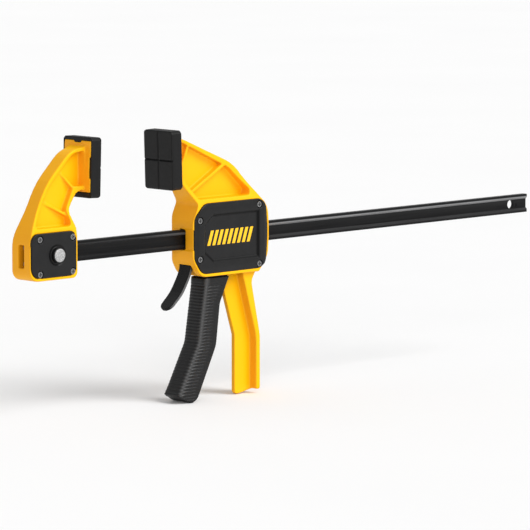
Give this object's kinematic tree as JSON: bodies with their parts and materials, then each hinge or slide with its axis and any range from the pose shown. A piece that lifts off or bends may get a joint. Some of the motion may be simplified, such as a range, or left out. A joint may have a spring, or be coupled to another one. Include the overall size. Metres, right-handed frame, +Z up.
{
  "type": "trigger bar clamp",
  "caption": "One-handed trigger bar clamp: a fixed jaw pinned to a steel bar and a sliding jaw driven by a squeeze handle and freed by a release lever.",
  "frame": {"origin": "on the bar's centre line, in the plane of the fixed jaw's pad face", "axes": "+X along the bar towards its free end, +Z up through the jaws, -Y out of the front covers"},
  "size_m": [0.7, 0.0404, 0.2658],
  "materials": {
    "bar_steel": "black oxide, satin",
    "yellow_nylon": "glass-filled nylon, fine moulded texture",
    "pad_rubber": "soft matte",
    "cover_plastic": "fine spark texture",
    "screw_steel": "bright zinc plate",
    "button_metal": "cast, lightly tumbled",
    "plate_steel": "hardened, ground",
    "spring_steel": "drawn wire",
    "handle_nylon": "satin",
    "grip_rubber": "ribbed, matte",
    "lever_steel": "black, satin"
  },
  "bodies": {
    "bar_and_fixed_jaw": {"bar": "bar_steel", "fixed_jaw": "yellow_nylon", "fixed_pad": "pad_rubber", "jaw_cover_front": "cover_plastic", "jaw_cover_rear": "cover_plastic", "jaw_cover_screws": "screw_steel", "button_spring": "spring_steel"},
    "button": {"release_button": "button_metal", "button_yoke": "plate_steel", "lock_pin": "plate_steel"},
    "sliding_body": {"body_shell": "yellow_nylon", "slide_pad": "pad_rubber", "body_cover_front": "cover_plastic", "body_cover_rear": "cover_plastic", "body_cover_screws": "screw_steel", "handle_pivot_pin": "plate_steel", "drive_spring": "spring_steel", "brake_spring": "spring_steel"},
    "handle": {"squeeze_handle": "handle_nylon", "handle_grip": "grip_rubber"},
    "drive_plates": {"drive_plate_first": "plate_steel", "drive_plate_second": "plate_steel"},
    "lever": {"release_lever": "lever_steel"}
  },
  "joints": [
    {"name": "body_slide", "type": "slide", "parent": "bar_and_fixed_jaw", "child": "sliding_body", "axis": [1, 0, 0], "range_m": [-0.0893, 0.36]},
    {"name": "handle_squeeze", "type": "hinge", "parent": "sliding_body", "child": "handle", "pos_m": [0.158, 0, 0.018], "axis": [0, -1, 0], "range_deg": [0, 20]},
    {"name": "drive_feed", "type": "slide", "parent": "sliding_body", "child": "drive_plates", "axis": [1, 0, 0], "range_m": [0, 0.0121], "deforming": ["drive_spring"]},
    {"name": "lever_release", "type": "hinge", "parent": "sliding_body", "child": "lever", "pos_m": [0.131, 0, 0.0205], "axis": [0, -1, 0], "range_deg": [0, 8], "deforming": ["brake_spring"]},
    {"name": "button_press", "type": "slide", "parent": "bar_and_fixed_jaw", "child": "button", "axis": [0, 1, 0], "range_m": [0, 0.0036], "deforming": ["button_spring"]}
  ],
  "couplings": [
    {"joint": "drive_feed", "follows": "handle_squeeze", "m_per_rad": 0.0343}
  ]
}
